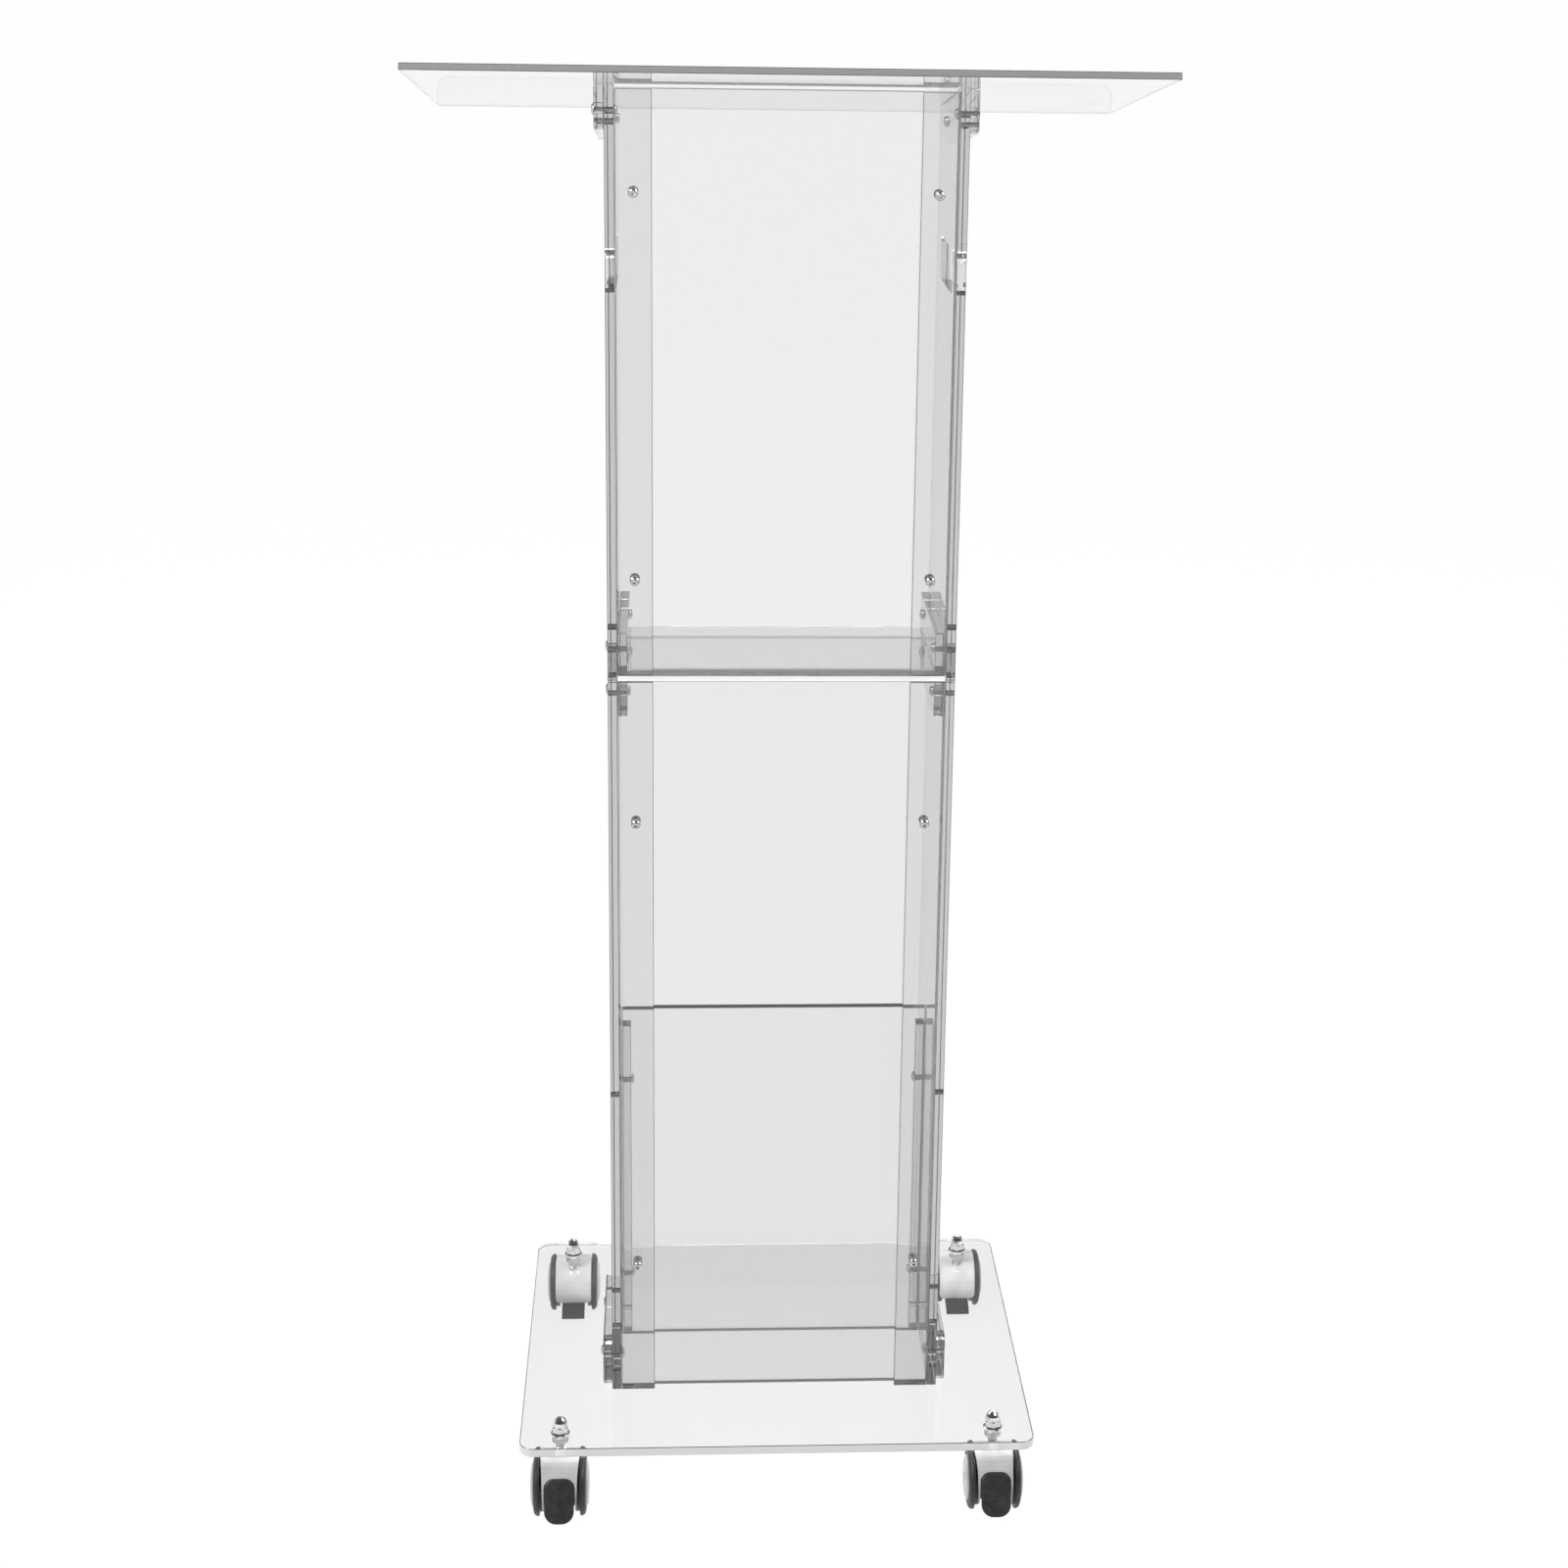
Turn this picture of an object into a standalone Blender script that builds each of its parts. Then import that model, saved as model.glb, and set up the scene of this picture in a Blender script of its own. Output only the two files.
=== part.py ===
"""Presentation lectern in clear acrylic sheet, standing on four braked twin-wheel casters.

Metres, +Z up, floor at Z = 0, X = 0 on the mirror plane.
The audience is on the -Y side and the speaker on the +Y side.
Heights of the column are given above the top face of the base plate (BASE_TOP).
Depths of the column are given behind its audience-side plane (COLUMN_Y).
"""

import math

import bmesh
import bpy
from mathutils import Matrix, Vector

GAP = 0.0003
POLISH = 0.0005

# base plate
BASE_WIDTH = 0.450
BASE_DEPTH = 0.394
SHEET = 0.008
BASE_TOP = 0.0688
BASE_Y = -0.1970
BASE_CORNER = 0.013

# column
COLUMN_Y = BASE_Y + 0.101
COLUMN_DEPTH = 0.191
COLUMN_HALF = 0.146
INNER_HALF = COLUMN_HALF - SHEET
STRIP_WIDTH = 0.030
JOINT_LOW = 0.6620
SHELF_SHEET = 0.0055
SHELF_DEPTH = 0.169
FRONT_TOP = 1.1495
SLOT_LOW, SLOT_HIGH = 0.983, 1.019
SLOT_NEAR, SLOT_FAR = 0.039, 0.152

# reading plate, laid out flat and then tipped down toward the speaker
PLATE_WIDTH = 0.595
PLATE_LENGTH = 0.377
PLATE_SHEET = 0.0055
PLATE_SLOPE = math.radians(8.66)
PLATE_NEAR_Y = BASE_Y - 0.0032
PLATE_NEAR_Z = BASE_TOP + 1.1690
STOP_HEIGHT = 0.025
STOP_CORNER = 0.010

# brackets, splices, cleats and the low inner panel
BRACKET_SHEET = 0.008
TOP_BRACKET_DROP = 0.035
TOP_BRACKET_NEAR, TOP_BRACKET_FAR = 0.010, 0.150
BASE_BRACKET_NEAR, BASE_BRACKET_FAR = 0.011, 0.141
BASE_BRACKET_HEIGHT = 0.044
SPLICE_NEAR, SPLICE_FAR = 0.019, 0.169
SPLICE_LOW, SPLICE_HIGH = 0.628, 0.700
RIB_NEAR = 0.132
RIB_HEIGHT = 0.030
INNER_PANEL_NEAR = 0.1085
INNER_PANEL_HEIGHT = 0.326
CLEAT_DEPTH = 0.016
CLEAT_HEIGHT = 0.307

# fasteners
SCREW_HEIGHTS = (0.123, 0.5365, 0.749, 1.068)
SCREW_X = 0.123
SPLICE_BOLT_DEPTHS = (0.036, 0.150)
SPLICE_BOLT_HEIGHTS = (0.646, 0.684)
BRACKET_BOLT_DEPTHS = (0.034, 0.126)
BASE_BOLT_HEIGHT = 0.022
CLEAT_BOLT_HEIGHTS = (0.058, 0.253)

# casters, each laid out about its own stem: U runs from the stem toward the axle, floor at zero
CASTER_X = 0.190
CASTER_YS = (BASE_Y + 0.026, BASE_Y + 0.368)
WHEEL_RADIUS = 0.0275
WHEEL_WIDTH = 0.0095
WHEEL_INNER = 0.0137
WHEEL_STEP = 0.0237
HUB_RECESS_RADIUS = 0.0204
HUB_RECESS = 0.0012
TRAIL = 0.013
AXLE_Z = WHEEL_RADIUS
BODY_HALF = 0.0134
BODY_RADIUS = 0.0243
COVER_INSIDE = BODY_RADIUS + GAP
COVER_OUTSIDE = 0.0266
COVER_HALF = 0.0174
COVER_BROW_HALF = 0.0154
COVER_FLANK_HALF = 0.0147
HINGE_U, HINGE_Z = TRAIL + 0.0183, AXLE_Z + 0.0143
PEDAL_HALF = 0.0131
PEDAL_TOP = -0.0005
PEDAL_ROOM = 0.0006
BARREL_RADIUS = 0.0028
BARREL_HALF = 0.0085
TOE_HALF = 0.0110
PEDAL_LENGTH = 0.0372
PEDAL_FALL = math.radians(63.8)
STEM_RADIUS = 0.004
SOCKET_LOW = 0.0340
COLLAR_LOW = 0.0580
PLATE_UNDER = BASE_TOP - SHEET
NUT_RADIUS = 0.0075
NUT_FLATS_TOP = 0.0072
NUT_HEIGHT = 0.0165


def clear_scene():
    """Empty the scene that opens by default."""
    for old in list(bpy.data.objects):
        bpy.data.objects.remove(old, do_unlink=True)
    for old in list(bpy.data.collections):
        bpy.data.collections.remove(old)


def new_collection(name, hidden=False):
    """Make a collection under the scene."""
    collection = bpy.data.collections.new(name)
    collection.hide_render = hidden
    bpy.context.scene.collection.children.link(collection)
    return collection


clear_scene()
PARTS = new_collection("presentation_lectern")
CUTTERS = new_collection("cutters", hidden=True)


def material(name, colour, roughness, metallic=0.0, alpha=1.0):
    """Principled material of one finish."""
    made = bpy.data.materials.new(name)
    made.use_nodes = True
    shader = made.node_tree.nodes["Principled BSDF"]
    shader.inputs["Base Color"].default_value = (*colour, 1.0)
    shader.inputs["Roughness"].default_value = roughness
    shader.inputs["Metallic"].default_value = metallic
    shader.inputs["Alpha"].default_value = alpha
    return made


FINISHES = {
    "acrylic": ((0.90, 0.93, 0.93), 0.05, 0.0, 0.30),
    "chrome": ((0.80, 0.80, 0.80), 0.10, 1.0, 1.0),
    "steel": ((0.60, 0.60, 0.60), 0.30, 1.0, 1.0),
    "grey_plastic": ((0.55, 0.56, 0.57), 0.35, 0.0, 1.0),
    "black_plastic": ((0.03, 0.03, 0.03), 0.45, 0.0, 1.0),
    "tread": ((0.02, 0.02, 0.02), 0.60, 0.0, 1.0),
}


def add_object(name, mesh_data, finish, smooth=None):
    """Wrap a finished bmesh in a named object; smooth is the crease angle of round pieces."""
    mesh = bpy.data.meshes.new(name)
    bmesh.ops.recalc_face_normals(mesh_data, faces=mesh_data.faces)
    mesh_data.to_mesh(mesh)
    mesh_data.free()
    made = bpy.data.objects.new(name, mesh)
    if finish is None:
        CUTTERS.objects.link(made)
        made.display_type = "WIRE"
        made.hide_render = True
        return made
    PARTS.objects.link(made)
    mesh.materials.append(material(name + "_finish", *FINISHES[finish]))
    if smooth is not None:
        mesh.polygons.foreach_set("use_smooth", [True] * len(mesh.polygons))
        mesh.set_sharp_from_angle(angle=math.radians(smooth))
    return made


def add_bevel(target, width=POLISH, segments=1, angle=35.0):
    """Ease the sharp edges of a sheet piece."""
    bevel = target.modifiers.new("eased_edges", "BEVEL")
    bevel.width = width
    bevel.segments = segments
    bevel.limit_method = "ANGLE"
    bevel.angle_limit = math.radians(angle)


def add_boolean(target, tool, operation="DIFFERENCE"):
    """Cut or join with a tool from the cutters collection."""
    step = target.modifiers.new(tool.name, "BOOLEAN")
    step.operation = operation
    step.solver = "EXACT"
    step.object = tool


def extrude_outline(mesh_data, outline, axis, start, end):
    """Closed prism of a plane outline, pushed along axis X, Y or Z from start to end."""
    order = {"X": (2, 0, 1), "Y": (0, 2, 1), "Z": (0, 1, 2)}[axis]
    rings = []
    for level in (start, end):
        ring = []
        for u, v in outline:
            values = (u, v, level)
            ring.append(mesh_data.verts.new([values[k] for k in order]))
        rings.append(ring)
    count = len(outline)
    mesh_data.faces.new(rings[0])
    mesh_data.faces.new(list(reversed(rings[1])))
    for k in range(count):
        after = (k + 1) % count
        mesh_data.faces.new((rings[0][k], rings[1][k], rings[1][after], rings[0][after]))


def rectangle(u0, v0, u1, v1):
    """Corners of a rectangle."""
    return [(u0, v0), (u1, v0), (u1, v1), (u0, v1)]


def rounded(corners, radii, steps=5):
    """Round the corners of a convex outline, each by its own radius (zero keeps it sharp)."""
    points = []
    count = len(corners)
    for k in range(count):
        here = Vector(corners[k])
        back = (Vector(corners[k - 1]) - here).normalized()
        ahead = (Vector(corners[(k + 1) % count]) - here).normalized()
        if radii[k] == 0:
            points.append(tuple(here))
            continue
        half = 0.5 * back.angle(ahead)
        centre = here + (back + ahead).normalized() * (radii[k] / math.sin(half))
        reach = radii[k] / math.tan(half)
        first = here + back * reach - centre
        last = here + ahead * reach - centre
        sweep = first.angle(last)
        for n in range(steps + 1):
            t = n / steps
            mix = (first * math.sin((1 - t) * sweep) + last * math.sin(t * sweep)) / math.sin(sweep)
            points.append(tuple(centre + mix))
    return points


def revolve(mesh_data, profile, place, segments=24):
    """Closed turned solid: profile runs (radius, height) from axis to axis, place sets it down."""
    rings = []
    for radius, height in profile:
        if radius == 0:
            rings.append([mesh_data.verts.new(place @ Vector((0, 0, height)))])
            continue
        ring = []
        for k in range(segments):
            turn = 2 * math.pi * k / segments
            spot = Vector((radius * math.cos(turn), radius * math.sin(turn), height))
            ring.append(mesh_data.verts.new(place @ spot))
        rings.append(ring)
    for low, high in zip(rings, rings[1:]):
        for k in range(segments):
            after = (k + 1) % segments
            if len(low) == 1:
                mesh_data.faces.new((low[0], high[k], high[after]))
            elif len(high) == 1:
                mesh_data.faces.new((low[k], high[0], low[after]))
            else:
                mesh_data.faces.new((low[k], high[k], high[after], low[after]))


def along(axis, spot, flip=False):
    """Matrix that stands a turned piece at spot with its own Z along axis."""
    turns = {
        "X": Matrix.Rotation(math.pi / 2, 4, "Y"),
        "Y": Matrix.Rotation(-math.pi / 2, 4, "X"),
        "Z": Matrix.Identity(4),
    }
    turn = turns[axis]
    if flip:
        turn = turn @ Matrix.Rotation(math.pi, 4, "X")
    return Matrix.Translation(spot) @ turn


def rod_cutter(name, spots, axis, radius, start, end, segments=12):
    """Straight drills through the given spots, from start to end along the axis."""
    mesh_data = bmesh.new()
    for spot in spots:
        profile = [(0, start), (radius, start), (radius, end), (0, end)]
        revolve(mesh_data, profile, along(axis, spot), segments)
    return add_object(name, mesh_data, None)


def sheet_piece(name, outline, axis, start, end):
    """Flat acrylic piece with polished edges."""
    mesh_data = bmesh.new()
    extrude_outline(mesh_data, outline, axis, start, end)
    made = add_object(name, mesh_data, "acrylic")
    add_bevel(made)
    return made


def column_y(depth):
    """World Y of a depth behind the column's audience-side plane."""
    return COLUMN_Y + depth


def height(above_base):
    """World Z of a height above the base plate."""
    return BASE_TOP + above_base


def plate_underside(y):
    """World Z of the reading plate's underside at world Y."""
    return PLATE_NEAR_Z - (y - PLATE_NEAR_Y) * math.tan(PLATE_SLOPE)


# ---------------------------------------------------------------- base plate
base_outline = rounded(
    rectangle(-BASE_WIDTH / 2, BASE_Y, BASE_WIDTH / 2, BASE_Y + BASE_DEPTH), [BASE_CORNER] * 4
)
base_plate = sheet_piece("base_plate", base_outline, "Z", BASE_TOP - SHEET, BASE_TOP)
stem_spots = [Vector((side * CASTER_X, y, 0)) for y in CASTER_YS for side in (-1, 1)]
stem_drill = rod_cutter(
    "stem_drill", stem_spots, "Z", STEM_RADIUS + GAP, BASE_TOP - 0.02, BASE_TOP + 0.02, 16
)
add_boolean(base_plate, stem_drill)

# ---------------------------------------------------------------- column sheets
SHELF_TOP = JOINT_LOW + GAP + SHELF_SHEET
LOWER = (GAP, JOINT_LOW)
UPPER = (SHELF_TOP + GAP, FRONT_TOP)
FRONT_NEAR = SHEET + GAP

screw_spots = []
for screw_height in SCREW_HEIGHTS:
    for side in (-1, 1):
        screw_spots.append(Vector((side * SCREW_X, column_y(SHEET), height(screw_height))))
screw_drill = rod_cutter("screw_drill", screw_spots, "Y", 0.0023, -0.02, 0.02)

for half, (low, high) in (("lower", LOWER), ("upper", UPPER)):
    front = sheet_piece(
        "front_panel_" + half,
        rectangle(-INNER_HALF + GAP, height(low), INNER_HALF - GAP, height(high)),
        "Y",
        column_y(FRONT_NEAR),
        column_y(FRONT_NEAR + SHEET),
    )
    add_boolean(front, screw_drill)
    for side, side_name in ((-1, "left"), (1, "right")):
        edges = sorted((side * (INNER_HALF - GAP), side * (INNER_HALF - STRIP_WIDTH)))
        strip = sheet_piece(
            "corner_strip_" + side_name + "_" + half,
            rectangle(edges[0], height(low), edges[1], height(high)),
            "Y",
            column_y(0),
            column_y(SHEET),
        )
        add_boolean(strip, screw_drill)

# ---------------------------------------------------------------- side panels
slot_outline = rounded(
    rectangle(column_y(SLOT_NEAR), height(SLOT_LOW), column_y(SLOT_FAR), height(SLOT_HIGH)),
    [0.0120] * 4,
)
slot_data = bmesh.new()
extrude_outline(slot_data, slot_outline, "X", -0.2, 0.2)
slot_cutter = add_object("hand_slot_cutter", slot_data, None)

bolt_spots = []
for side in (-1, 1):
    splice_x = side * INNER_HALF
    outer_x = side * (COLUMN_HALF + GAP / 2)
    for depth in SPLICE_BOLT_DEPTHS:
        for level in SPLICE_BOLT_HEIGHTS:
            bolt_spots.append(Vector((splice_x, column_y(depth), height(level))))
    for depth in BRACKET_BOLT_DEPTHS:
        under = plate_underside(column_y(depth)) - TOP_BRACKET_DROP / 2
        bolt_spots.append(Vector((outer_x, column_y(depth), under)))
        bolt_spots.append(Vector((outer_x, column_y(depth), height(BASE_BOLT_HEIGHT))))
    cleat_mid = INNER_PANEL_NEAR + SHEET + GAP + CLEAT_DEPTH / 2
    for level in CLEAT_BOLT_HEIGHTS:
        bolt_spots.append(Vector((splice_x, column_y(cleat_mid), height(level))))

bolt_drill = rod_cutter("bolt_drill", bolt_spots, "X", 0.0028, -0.02, 0.02)

side_near = column_y(0)
side_far = column_y(COLUMN_DEPTH)
for side, side_name in ((-1, "left"), (1, "right")):
    faces = sorted((side * INNER_HALF, side * COLUMN_HALF))
    lower_panel = sheet_piece(
        "side_panel_" + side_name + "_lower",
        rectangle(side_near, height(GAP), side_far, height(JOINT_LOW)),
        "X",
        *faces,
    )
    add_boolean(lower_panel, bolt_drill)
    upper_outline = [
        (side_near, height(JOINT_LOW + GAP)),
        (side_far, height(JOINT_LOW + GAP)),
        (side_far, plate_underside(side_far) - GAP),
        (side_near, plate_underside(side_near) - GAP),
    ]
    upper_panel = sheet_piece("side_panel_" + side_name + "_upper", upper_outline, "X", *faces)
    add_boolean(upper_panel, slot_cutter)
    add_boolean(upper_panel, bolt_drill)

# ---------------------------------------------------------------- brackets, splices, cleats
for side, side_name in ((-1, "left"), (1, "right")):
    inside = sorted((side * (INNER_HALF - GAP), side * (INNER_HALF - GAP - BRACKET_SHEET)))
    outside = sorted((side * (COLUMN_HALF + GAP), side * (COLUMN_HALF + GAP + BRACKET_SHEET)))
    splice = sheet_piece(
        "splice_plate_" + side_name,
        rectangle(
            column_y(SPLICE_NEAR), height(SPLICE_LOW), column_y(SPLICE_FAR), height(SPLICE_HIGH)
        ),
        "X",
        *inside,
    )
    add_boolean(splice, bolt_drill)
    bracket_near = column_y(TOP_BRACKET_NEAR)
    bracket_far = column_y(TOP_BRACKET_FAR)
    top_outline = rounded(
        [
            (bracket_near, plate_underside(bracket_near) - GAP),
            (bracket_near, plate_underside(bracket_near) - TOP_BRACKET_DROP),
            (bracket_far, plate_underside(bracket_far) - TOP_BRACKET_DROP),
            (bracket_far, plate_underside(bracket_far) - GAP),
        ],
        [0, 0.004, 0.004, 0],
        3,
    )
    top_bracket = sheet_piece("top_bracket_" + side_name, top_outline, "X", *outside)
    add_boolean(top_bracket, bolt_drill)
    base_outline = rounded(
        rectangle(
            column_y(BASE_BRACKET_NEAR),
            height(GAP),
            column_y(BASE_BRACKET_FAR),
            height(BASE_BRACKET_HEIGHT),
        ),
        [0, 0, 0.004, 0.004],
        3,
    )
    base_bracket = sheet_piece("base_bracket_" + side_name, base_outline, "X", *outside)
    add_boolean(base_bracket, bolt_drill)
    cleat_near = INNER_PANEL_NEAR + SHEET + GAP
    cleat = sheet_piece(
        "cleat_" + side_name,
        rectangle(
            column_y(cleat_near), height(GAP), column_y(cleat_near + CLEAT_DEPTH), height(CLEAT_HEIGHT)
        ),
        "X",
        *inside,
    )
    add_boolean(cleat, bolt_drill)

# ---------------------------------------------------------------- shelf, rib, low inner panel
SHELF_NARROW = INNER_HALF - BRACKET_SHEET - 2 * GAP
SHELF_WIDE = INNER_HALF - GAP
neck = column_y(SPLICE_NEAR - GAP)
shelf_outline = [
    (-SHELF_WIDE, column_y(0)),
    (SHELF_WIDE, column_y(0)),
    (SHELF_WIDE, neck),
    (SHELF_NARROW, neck),
    (SHELF_NARROW, column_y(SHELF_DEPTH)),
    (-SHELF_NARROW, column_y(SHELF_DEPTH)),
    (-SHELF_NARROW, neck),
    (-SHELF_WIDE, neck),
]
sheet_piece("mid_shelf", shelf_outline, "Z", height(JOINT_LOW + GAP), height(SHELF_TOP))
sheet_piece(
    "shelf_rib",
    rectangle(-SHELF_NARROW + GAP, height(JOINT_LOW - RIB_HEIGHT), SHELF_NARROW - GAP, height(JOINT_LOW)),
    "Y",
    column_y(RIB_NEAR),
    column_y(RIB_NEAR + SHEET),
)
sheet_piece(
    "inner_panel",
    rectangle(-SHELF_WIDE, height(GAP), SHELF_WIDE, height(INNER_PANEL_HEIGHT)),
    "Y",
    column_y(INNER_PANEL_NEAR),
    column_y(INNER_PANEL_NEAR + SHEET),
)

# ---------------------------------------------------------------- reading plate and paper stop
tip = Matrix.Translation((0, PLATE_NEAR_Y, PLATE_NEAR_Z)) @ Matrix.Rotation(-PLATE_SLOPE, 4, "X")
plate_outline = rounded(
    rectangle(-PLATE_WIDTH / 2, 0, PLATE_WIDTH / 2, PLATE_LENGTH - PLATE_SHEET - GAP),
    [0.002, 0.002, 0.001, 0.001],
    3,
)
plate_data = bmesh.new()
extrude_outline(plate_data, plate_outline, "Z", 0, PLATE_SHEET)
plate_data.transform(tip)
add_bevel(add_object("reading_plate", plate_data, "acrylic"))

stop_outline = rounded(
    rectangle(-PLATE_WIDTH / 2, 0, PLATE_WIDTH / 2, PLATE_SHEET + STOP_HEIGHT),
    [0.001, 0.001, STOP_CORNER, STOP_CORNER],
)
stop_data = bmesh.new()
extrude_outline(stop_data, stop_outline, "Y", PLATE_LENGTH - PLATE_SHEET, PLATE_LENGTH)
stop_data.transform(tip)
add_bevel(add_object("paper_stop", stop_data, "acrylic"))


# ---------------------------------------------------------------- casters
def arc(radius, first, last, steps):
    """Points of an arc about the axle as (U, Z), angles in degrees from the pedal side upward."""
    points = []
    for n in range(steps + 1):
        turn = math.radians(first + (last - first) * n / steps)
        points.append((TRAIL + radius * math.cos(turn), AXLE_Z + radius * math.sin(turn)))
    return points


def placed(points, spot, way):
    """Turn (U, Z) points into world (Y, Z) points; way is the side the axle trails to."""
    return [(spot.y + way * u, z) for u, z in points]


BODY_OUTLINE = [*arc(BODY_RADIUS, -28, 206, 25), *arc(0.0190, 214, 322, 8)]
COVER_TURNS = [*range(-28, 192, 10), 192, 196, 200, 202, 204]
TAB_OUTLINE = [
    (TRAIL - 0.0163, AXLE_Z - 0.0047),
    (TRAIL - 0.0225, AXLE_Z - 0.0105),
    (TRAIL - 0.0390, AXLE_Z - 0.0168),
    (TRAIL - 0.0400, AXLE_Z - 0.0200),
    (TRAIL - 0.0375, AXLE_Z - 0.0214),
    (TRAIL - 0.0183, AXLE_Z - 0.0161),
]
POCKET_OUTLINE = [
    (TRAIL + 0.0120, AXLE_Z - 0.0200),
    (TRAIL + 0.0450, AXLE_Z - 0.0200),
    (TRAIL + 0.0450, AXLE_Z + 0.0000),
    (TRAIL + 0.0240, AXLE_Z + 0.0085),
    (TRAIL + 0.0120, AXLE_Z + 0.0085),
]

STEM_PROFILE = [
    (0, SOCKET_LOW + GAP),
    (STEM_RADIUS, SOCKET_LOW + GAP),
    (STEM_RADIUS, COLLAR_LOW),
    (0.0075, COLLAR_LOW),
    (0.0075, PLATE_UNDER - GAP),
    (STEM_RADIUS, PLATE_UNDER - GAP),
    (STEM_RADIUS, BASE_TOP + 0.0105),
    (0, BASE_TOP + 0.0105),
]
NUT_LOW = BASE_TOP + GAP
DOME_PROFILE = [
    (0, NUT_LOW + 0.0005),
    (0.0066, NUT_LOW + 0.0005),
    (0.0066, NUT_LOW + NUT_FLATS_TOP + 0.0022),
    (0.0062, NUT_LOW + NUT_FLATS_TOP + 0.0045),
    (0.0048, NUT_LOW + NUT_HEIGHT - 0.0024),
    (0.0026, NUT_LOW + NUT_HEIGHT - 0.0006),
    (0, NUT_LOW + NUT_HEIGHT),
]
FLANGE_PROFILE = [
    (0, NUT_LOW),
    (0.0085, NUT_LOW),
    (0.0085, NUT_LOW + 0.0014),
    (0.0079, NUT_LOW + 0.0018),
    (0, NUT_LOW + 0.0018),
]
WHEEL_PROFILE = [
    (0.0033, 0),
    (WHEEL_STEP - 0.0004, 0),
    (WHEEL_STEP, 0.0004),
    (WHEEL_STEP, 0.0040),
    (WHEEL_RADIUS - 0.0004, 0.0040),
    (WHEEL_RADIUS, 0.0046),
    (WHEEL_RADIUS, 0.0060),
    (WHEEL_RADIUS - 0.0006, 0.0074),
    (WHEEL_RADIUS - 0.0020, 0.0086),
    (WHEEL_RADIUS - 0.0042, 0.0093),
    (HUB_RECESS_RADIUS + 0.0006, WHEEL_WIDTH),
    (HUB_RECESS_RADIUS, WHEEL_WIDTH - HUB_RECESS),
    (0.0033, WHEEL_WIDTH - HUB_RECESS),
]
PIN_END = 0.0118
BARREL_PROFILE = [
    (0, -PIN_END),
    (0.0020, -PIN_END),
    (0.0020, -BARREL_HALF),
    (BARREL_RADIUS, -BARREL_HALF),
    (BARREL_RADIUS, BARREL_HALF),
    (0.0020, BARREL_HALF),
    (0.0020, PIN_END),
    (0, PIN_END),
]

ways = [-1, -1, 1, 1]
axle_spots = [spot + Vector((0, way * TRAIL, AXLE_Z)) for spot, way in zip(stem_spots, ways)]
hinge_spots = [spot + Vector((0, way * HINGE_U, HINGE_Z)) for spot, way in zip(stem_spots, ways)]
nut_bore = rod_cutter("nut_bore", stem_spots, "Z", STEM_RADIUS + GAP, BASE_TOP - 0.005, BASE_TOP + 0.0112, 16)
socket_drill = rod_cutter("socket_drill", stem_spots, "Z", STEM_RADIUS + GAP, SOCKET_LOW, 0.0600, 16)
axle_drill = rod_cutter("axle_drill", axle_spots, "X", 0.0033, -0.03, 0.03, 16)
pin_drill = rod_cutter("pin_drill", hinge_spots, "X", 0.0023, -PIN_END - GAP, PIN_END + GAP, 12)
barrel_drill = rod_cutter(
    "barrel_drill", hinge_spots, "X", BARREL_RADIUS + GAP, -BARREL_HALF - GAP, BARREL_HALF + GAP, 16
)


def pedal_place(data, spot, way):
    """Turn (across, down, out) vertices into world ones: down the pedal and out from its hinge."""
    fall_u = math.cos(PEDAL_FALL)
    fall_z = -math.sin(PEDAL_FALL)
    for vert in data.verts:
        across, down, out = vert.co
        u = HINGE_U + fall_u * down - fall_z * out
        z = HINGE_Z + fall_z * down + fall_u * out
        vert.co = (spot.x + across, spot.y + way * u, z)
    bmesh.ops.recalc_face_normals(data, faces=data.faces)


pocket_data = bmesh.new()
pocket_half = PEDAL_HALF - 0.0002 + PEDAL_ROOM
for spot, way in zip(stem_spots, ways):
    extrude_outline(
        pocket_data, placed(POCKET_OUTLINE, spot, way), "X", spot.x - pocket_half, spot.x + pocket_half
    )
pocket_cutter = add_object("pedal_pocket_cutter", pocket_data, None)
mouth_outline = rounded(
    rectangle(-pocket_half, PEDAL_TOP - PEDAL_ROOM, pocket_half, 0.0140), [0.0086, 0.0086, 0, 0], 6
)
mouth_cutters = []
for spot, way in zip(stem_spots, ways):
    mouth_data = bmesh.new()
    extrude_outline(mouth_data, mouth_outline, "Z", -0.0034, 0.0200)
    pedal_place(mouth_data, spot, way)
    mouth_cutters.append(add_object("pedal_mouth_cutter", mouth_data, None))


def cover_half(turn):
    """Half width of the cover at an angle about the axle: full over the stem, slim by the pedal."""
    if turn > 192:
        past = (turn - 192) / 12
        return COVER_HALF - 0.0040 * (1 - math.sqrt(1 - past * past))
    if turn > 100:
        return COVER_HALF
    if turn > 40:
        return COVER_BROW_HALF + (COVER_HALF - COVER_BROW_HALF) * (turn - 40) / 60
    return COVER_FLANK_HALF + (COVER_BROW_HALF - COVER_FLANK_HALF) * (turn + 28) / 68


def flatten_faces(data):
    """Split faces into triangles, so that a tapered side has no bent face."""
    bmesh.ops.triangulate(data, faces=data.faces)
    bmesh.ops.recalc_face_normals(data, faces=data.faces)


def caster_stem(prefix, spot):
    """Threaded stem with a collar under the base plate."""
    data = bmesh.new()
    revolve(data, STEM_PROFILE, Matrix.Translation(spot), 16)
    add_object(prefix + "_stem", data, "steel", smooth=40)


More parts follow.
